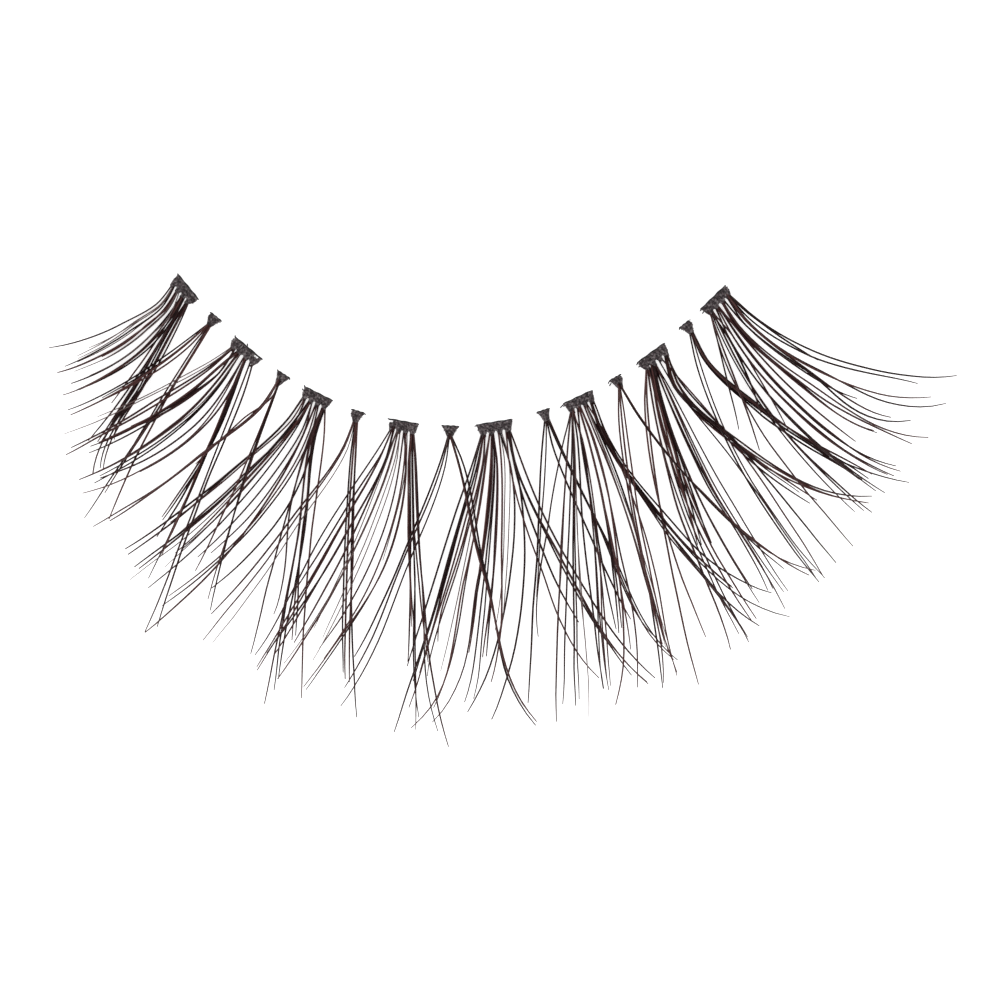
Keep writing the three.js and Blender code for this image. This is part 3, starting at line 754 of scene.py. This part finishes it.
def with_tree(name, mesh, tree, **values):
    """The mesh that a tree makes of another mesh, turned to metres, as a new object."""
    source = bpy.data.objects.new(name + "_source", mesh)
    bpy.context.scene.collection.objects.link(source)
    modifier = source.modifiers.new("grow", "NODES")
    modifier.node_group = tree
    for item in tree.interface.items_tree:
        if item.in_out == "INPUT" and item.name in values:
            modifier[item.identifier] = values[item.name]
    return finished(name, source)


def press_flat(mesh):
    """Lets nothing reach below the surface that the strip lies on."""
    places = np.empty(3 * len(mesh.vertices))
    mesh.vertices.foreach_get("co", places)
    places[2::3] = np.maximum(places[2::3], 0)
    mesh.vertices.foreach_set("co", places)


def finished(name, source):
    """The source's mesh with its modifiers applied, turned to metres, as a plain object."""
    graph = bpy.context.evaluated_depsgraph_get()
    made = bpy.data.meshes.new_from_object(source.evaluated_get(graph), depsgraph=graph)
    made.transform(Matrix.Scale(METRES, 4))
    press_flat(made)
    made.name = name
    bpy.data.objects.remove(source)
    piece = bpy.data.objects.new(name, made)
    bpy.context.scene.collection.objects.link(piece)
    return piece


# Hair
def curl_height(plan):
    """How high hair has curled up over these points."""
    past = np.maximum(0, LASH_LINE.distance(plan) - LYING) / (HAIR_REACH - LYING)
    return CURL * past ** 2


def layer_height(layer, distance):
    """How much higher than the lowest layer's hair a layer's lies, this far from its knot."""
    return layer * (FIRST_LIFT + LAYER_LIFT * (1 - np.exp(-distance / LAYER_RUN)))


def heading_point(degrees, distance):
    """The point across and out that lies this way and this far from a tuft's place."""
    turn = math.radians(degrees)
    return np.array([math.sin(turn), math.cos(turn)]) * distance


def smooth_line(root, middle, tip, t):
    """The simplest curve through a root, a middle and a tip."""
    return root * 2 * (t - 0.5) * (t - 1) + middle * 4 * t * (1 - t) + tip * 2 * t * (t - 0.5)


def bow(t):
    """A bow of 1 at a quarter of the way, gone by half way; of 1 - t, one at three quarters."""
    return 64 * t * np.clip(0.5 - t, 0, None) ** 2


def fan(distance):
    """How far a strand stands off its bundle's middle on its way out."""
    way = distance / STRAND_RUN
    return STRAND_FAN * way * np.exp(1 - way)


def hair_guide(place, seat, layer, root, strand, hair, level, curled, heading, bend):
    """One hair's line, from inside its knot to its tip. Near the knot it keeps to its bundle's
    heading and bend, in one of the bundle's strands."""
    reach = hair.reach * HAIR_REACH
    leave = seat.plan(root, KNOT_FRONT + TOOTH_LENGTH / 2)
    middle = place.plan(*heading_point(hair.mid, reach / 2))
    tip = place.plan(*heading_point(hair.tip, reach))
    t = np.linspace(0, 1, GUIDE_STEPS)[:, None]
    own = smooth_line(leave, middle, tip, t) + bend * bow(t) * place.across
    if hair.late is not None:
        late = place.plan(*heading_point(hair.late, 0.75 * reach))
        own += bow(1 - t) * (late - smooth_line(leave, middle, tip, 0.75))
    distance = np.linalg.norm(own - leave, axis=1)
    own += strand * fan(distance)[:, None] * place.across
    across, out = heading_point(heading, 1)
    gathered = leave + distance[:, None] * (across * place.across + out * place.out)
    loose = np.clip(distance[:, None] / BUNDLE_LENGTH, 0, 1)
    loose = BUNDLE_LOOSE + (1 - BUNDLE_LOOSE) * loose * loose * (3 - 2 * loose)
    flat = gathered * (1 - loose) + own * loose
    height = level + curled * curl_height(flat) + layer_height(layer, distance)
    flat = np.vstack((seat.plan(root, ROOT_OUT), flat)) + ORIGIN
    return np.column_stack((flat, np.concatenate(([height[0]], height))))


def guide_mesh(name, guides):
    """Guide lines as one mesh of edges; each guide is (points, count, girth, fine)."""
    vertices, edges = [], []
    for points, *_ in guides:
        first = len(vertices)
        vertices += [tuple(point) for point in points]
        edges += [(first + i, first + i + 1) for i in range(len(points) - 1)]
    mesh = bpy.data.meshes.new(name)
    mesh.from_pydata(vertices, edges, [])
    for column, title, kind in ((1, "count", "INT"), (2, "girth", "FLOAT"), (3, "fine", "FLOAT")):
        values = [guide[column] for guide in guides for _ in guide[0]]
        mesh.attributes.new(title, kind, "POINT").data.foreach_set("value", values)
    return mesh


def tooth_middles(width):
    """Where a knot's teeth are across it, and the width of one."""
    if width <= WIDEST_NARROW:
        return [0.0], NARROW_FOOT * 0.8
    pitch = width * FOOT_SHARE / TEETH
    return [(tooth - (TEETH - 1) / 2) * pitch for tooth in range(TEETH)], pitch * (1 - NOTCH_SHARE)


def bundle_of(hair, teeth, fork):
    """The bundle a hair is in: a wide knot's tooth, or a narrow knot's left or right leg."""
    if teeth > 1:
        return hair.tooth
    return -1 if hair.mid < fork else 1


def tuft_guides(tuft, seat, width, chance):
    """The lines of a tuft's hairs."""
    place = Place(tuft["at"])
    middles, tooth_width = tooth_middles(width)
    wide = len(middles) > 1
    hairs = [Hair(*row) for row in tuft["hairs"]]
    headings = [hair.mid for hair in hairs]
    fork = (min(headings) + max(headings)) / 2
    bundles = {}
    for hair in hairs:
        bundles.setdefault(bundle_of(hair, len(middles), fork), []).append(hair.mid)
    guides = []
    for index, hair in enumerate(hairs):
        bundle = bundle_of(hair, len(middles), fork)
        mates = sorted(bundles[bundle])
        rank = (mates.index(hair.mid) + 0.5) / len(mates)
        strand = int(rank * STRANDS) - (STRANDS - 1) / 2
        root = tooth_width * (strand / STRANDS + STRAND_LOOSE * (chance.random() - 0.5))
        root = middles[bundle] + root if wide else NARROW_LEG * bundle + root / 2
        level = LOWEST_HAIR + SHEET_LIFT * (index % 2) + LEVEL_VARIATION * chance.random()
        curled = 1 - CURL_VARIATION * chance.random()
        fine = index in tuft.get("fine", [])
        girth = FINE_GIRTH if fine else chance.uniform(LEAST_GIRTH, MOST_GIRTH)
        bend = tuft["bends"][bundle if wide else bundle > 0] if hair.bend is None else hair.bend
        line = hair_guide(
            place, seat, tuft["layer"], root, strand, hair, level, curled,
            sum(mates) / len(mates), bend,
        )
        guides.append((line, hair.count, girth, float(fine)))
    return guides


# Knots
def knot_side(width, rounded):
    """One side of a knot's outline, from its back corner toward its foot, as shares of half the
    width and distances out."""
    if width > WIDEST_NARROW:
        if rounded:
            return [(0.93, -0.02), (1.0, 0.08), (0.97, 0.25), (0.9, KNOT_FRONT)]
        return [(1.0, -0.03), (0.95, 0.09), (0.93, 0.26), (0.87, KNOT_FRONT)]
    if rounded:
        return [(0.75, -0.04), (0.95, 0.06), (0.9, 0.2), (0.55, 0.38)]
    return [(1.0, -0.03), (0.9, 0.05), (0.7, 0.16), (0.48, 0.36)]


def knot_outline(width, rounded, bite):
    """A knot's outline in its own frame, as (across, out) points."""
    half = width / 2
    front = KNOT_FRONT + TOOTH_LENGTH
    left = [(-share * half, out) for share, out in knot_side(width, "left" in rounded)]
    right = [(share * half, out) for share, out in knot_side(width, "right" in rounded)]
    back = []
    if bite:
        start, end = bite[0] * half, bite[1] * half
        back = [(start, -0.02), (start, BITE_DEPTH), (end, BITE_DEPTH), (end, -0.02)]
        if bite[0] <= -1:
            left, back = left[2:], back[1:]
            back[0] = (left[0][0], back[0][1])
    if width <= WIDEST_NARROW:
        foot = NARROW_FOOT / 2
        return back + right + [(foot, front), (-foot, front)] + left[::-1]
    pitch = width * FOOT_SHARE / TEETH
    notch = pitch * NOTCH_SHARE
    teeth = []
    for tooth in reversed(range(TEETH)):
        start = (tooth - TEETH / 2) * pitch
        teeth += [(start + pitch - notch / 2, front), (start + notch / 2, front)]
        if tooth:
            teeth += [
                (start + notch / 3, KNOT_FRONT), (start, KNOT_FRONT - NOTCH_DEPTH),
                (start - notch / 3, KNOT_FRONT),
            ]
    return back + right + teeth + left[::-1]


def knot_core(name, place, outline):
    """The knot's fused body: its outline's slab, rounded, and roughened by set glue."""
    flat = place.plan([p[0] for p in outline], [p[1] for p in outline]) + ORIGIN
    count = len(outline)
    vertices = [(*p, KNOT_BOTTOM) for p in flat] + [(*p, KNOT_HEIGHT) for p in flat]
    faces = [list(range(count)), list(range(2 * count - 1, count - 1, -1))]
    faces += [[i, i + count, (i + 1) % count + count, (i + 1) % count] for i in range(count)]
    mesh = bpy.data.meshes.new(name)
    mesh.from_pydata(vertices, [], faces)
    source = bpy.data.objects.new(name + "_source", mesh)
    bpy.context.scene.collection.objects.link(source)
    remesh = source.modifiers.new("fuse", "REMESH")
    remesh.mode = "VOXEL"
    remesh.voxel_size = KNOT_VOXEL
    soften = source.modifiers.new("soften", "SMOOTH")
    soften.factor = 0.5
    soften.iterations = 3
    grain = bpy.data.textures.new(name, "CLOUDS")
    grain.noise_scale = KNOT_LUMP
    rough = source.modifiers.new("roughen", "DISPLACE")
    rough.texture = grain
    rough.strength = KNOT_GRAIN
    rough.mid_level = 0.5
    piece = finished(name, source)
    piece.data.materials.append(GLUED_KNOT)
    for polygon in piece.data.polygons:
        polygon.use_smooth = True
    return piece


def wrap_guides(place, width, bite, chance):
    """Hair roots folded over the band, from each tooth up, back over the band and under it."""
    middles, tooth_width = tooth_middles(width)
    half = width / 2
    top = (half - 0.06) / (middles[-1] + tooth_width / 2)
    path_out, path_height = np.array(WRAP_PATH).T
    guides = []
    for middle in middles:
        for k in range(WRAPS):
            share = (k + 0.5) / WRAPS - 0.5
            start = middle + tooth_width * 0.8 * share
            end = (middle + tooth_width * share) * top
            if bite and bite[0] * half < end < bite[1] * half:
                continue
            lean = (1 if k % 2 else -1) * WRAP_LEAN * (0.3 + chance.random())
            t = np.linspace(0, 1, len(path_out))
            across = start + (end - start) * np.minimum(1, t * 1.6) + lean * np.sin(t * 6)
            lift = 0.06 * (k % 2) - 0.03 + 0.03 * chance.random()
            out = path_out + 0.04 * (chance.random() - 0.5)
            girth = 0.8 + 0.3 * chance.random()
            guides.append((place.world(across, out, path_height + lift), 1, girth, 0.0))
    return guides


def thread_guides(place, width, ends, chance):
    """The tying thread along the knot's back edge, and its loose ends."""
    half = width / 2
    t = np.linspace(-1, 1, 19)
    phase = chance.random() * 6
    out = -THREAD_BACK + 0.012 * np.sin(t * 9 + phase)
    height = THREAD_HEIGHT + 0.02 * np.sin(t * 13 + phase) - 0.12 * np.abs(t) ** 8
    guides = [(place.world(t * half, out, height), 1, 1.0, 0.0)]
    for side, start, heading, length in ends:
        turn = math.radians(heading)
        s = np.linspace(0, 1, 7)
        bend = turn + 0.7 * (chance.random() - 0.3) * s
        across = side * half * 0.94 + length * s * np.cos(bend)
        away = start + length * s * np.sin(bend)
        guides.append((place.world(across, away, 0.3 - 0.12 * s), 1, 0.7, 0.0))
    return guides


def grown(name, guides, material, **values):
    """Hairs, roots or thread grown on guide lines."""
    mesh = guide_mesh(name + "_guides", guides)
    return with_tree(name, mesh, HAIR_TREE, Seed=len(mesh.vertices), Material=material, **values)


def grain_tree():
    """Scatters lumps of dried glue over a knot."""
    tree, given, result = new_tree("glue_grains", [
        ("Grains per square mm", "NodeSocketFloat", GRAINS),
        ("Smallest", "NodeSocketFloat", GRAIN_SMALLEST),
        ("Largest", "NodeSocketFloat", GRAIN_LARGEST),
        ("Seed", "NodeSocketInt", 1),
        ("Material", "NodeSocketMaterial", None),
    ])
    points = add(
        tree, "GeometryNodeDistributePointsOnFaces",
        [
            ("Mesh", given, "Geometry"), ("Density", given, "Grains per square mm"),
            ("Seed", given, "Seed"),
        ],
    )
    ball = add(tree, "GeometryNodeMeshIcoSphere", inputs={"Radius": 1.0, "Subdivisions": 1})
    lump = add(tree, "GeometryNodeSetShadeSmooth", [("Geometry", ball, "Mesh")])
    size = add(
        tree, "FunctionNodeRandomValue",
        [("Seed", given, "Seed"), (2, given, "Smallest"), (3, given, "Largest")],
        data_type="FLOAT",
    )
    turn = add(
        tree, "FunctionNodeRandomValue", [("Seed", given, "Seed")], {1: (6, 6, 6)},
        data_type="FLOAT_VECTOR",
    )
    placed = add(
        tree, "GeometryNodeInstanceOnPoints",
        [
            ("Points", points, "Points"), ("Instance", lump, "Geometry"), ("Rotation", turn, 0),
            ("Scale", size, 1),
        ],
    )
    real = add(tree, "GeometryNodeRealizeInstances", [("Geometry", placed, "Instances")])
    return closed(tree, given, real, result)


GRAIN_TREE = grain_tree()


def dress_tuft(name, tuft):
    """A tuft's hair, knot, folded roots, thread and glue, in place of its plain solid."""
    chance = random.Random(name)
    width = tuft["width"] * LINE_SPAN
    seat = Place(tuft["at"], *tuft["seat"])
    bite = tuft.get("bite")
    hair = grown(name + "_hair", tuft_guides(tuft, seat, width, chance), LASH_FIBRE)
    knot = knot_core(name + "_knot", seat, knot_outline(width, tuft.get("rounded", ""), bite))
    roots = grown(name + "_roots", wrap_guides(seat, width, bite, chance), GLUED_KNOT, **WRAP_SIZES)
    thread = grown(
        name + "_thread", thread_guides(seat, width, tuft.get("ends", []), chance), TYING_THREAD,
        **THREAD_SIZES,
    )
    coat = knot.data.copy()
    coat.transform(Matrix.Scale(1 / METRES, 4))
    glue = with_tree(name + "_glue", coat, GRAIN_TREE, Seed=len(tuft["hairs"]), Material=DRY_GLUE)
    for piece in (hair, knot, roots, thread, glue):
        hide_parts(name)
        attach(piece, "root")


def nylon_band():
    """The clear round thread in place of the band's plain solid."""
    shares = np.linspace(0, 1, BAND_STEPS + 1)
    middles = [Place(share).world([0], [BAND_INSET], BAND_WIDTH / 2)[0] for share in shares]
    curve = bpy.data.curves.new("band_source", "CURVE")
    curve.dimensions = "3D"
    spline = curve.splines.new("POLY")
    spline.points.add(len(middles) - 1)
    for point, middle in zip(spline.points, middles):
        point.co = (*middle, 1)
    curve.bevel_depth = BAND_WIDTH / 2
    curve.bevel_resolution = 4
    curve.use_fill_caps = True
    source = bpy.data.objects.new("band_source", curve)
    bpy.context.scene.collection.objects.link(source)
    piece = finished("nylon_band", source)
    piece.data.materials.append(CLEAR_NYLON)
    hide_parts("band")
    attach(piece, "root")


for number, tuft in enumerate(WIDE_TUFTS, 1):
    dress_tuft(f"wide_tuft_{number}", tuft)
for number, tuft in enumerate(NARROW_TUFTS, 1):
    dress_tuft(f"narrow_tuft_{number}", tuft)
nylon_band()


# Floor, camera and light
def lay_floor():
    """The white paper that the strip lies on."""
    half, top = FLOOR_HALF * METRES, -FLOOR_DROP * METRES
    corners = [(-half, -half, top), (half, -half, top), (half, half, top), (-half, half, top)]
    mesh = bpy.data.meshes.new("floor")
    mesh.from_pydata(corners, [], [(0, 1, 2, 3)])
    mesh.materials.append(WHITE_PAPER)
    floor = bpy.data.objects.new("floor", mesh)
    bpy.context.scene.collection.objects.link(floor)


def place_camera():
    """Straight above, as the photograph is taken, so that its frame is the photograph's."""
    centre = PHOTO_SIZE / 2
    x = ORIGIN[0] + (centre - LINE_MIDDLE_PIXEL[0]) * PIXEL
    y = ORIGIN[1] - (centre - LINE_MIDDLE_PIXEL[1]) * PIXEL
    height = PHOTO_SIZE * PIXEL * LENS / SENSOR
    data = bpy.data.cameras.new("camera")
    data.lens = LENS
    data.sensor_width = SENSOR
    camera = bpy.data.objects.new("camera", data)
    camera.location = (x * METRES, y * METRES, height * METRES)
    bpy.context.scene.collection.objects.link(camera)
    bpy.context.scene.camera = camera


def soft_light(name, place):
    """A softbox that faces the strip."""
    data = bpy.data.lights.new(name, "AREA")
    data.size = SOFTBOX_SIZE
    data.energy = SOFTBOX_POWER
    light = bpy.data.objects.new(name, data)
    light.location = place
    light.rotation_euler = (-Vector(place)).to_track_quat("-Z", "Y").to_euler()
    bpy.context.scene.collection.objects.link(light)


def light_studio():
    """The pale sky and the four softboxes."""
    world = bpy.data.worlds.new("studio")
    world.use_nodes = True
    sky = world.node_tree.nodes["Background"]
    sky.inputs["Color"].default_value = linear("#ffffff")
    sky.inputs["Strength"].default_value = SKY_STRENGTH
    bpy.context.scene.world = world
    for name, place in SOFTBOXES.items():
        soft_light(name, place)
    bpy.context.scene.view_settings.view_transform = "Standard"


lay_floor()
place_camera()
light_studio()
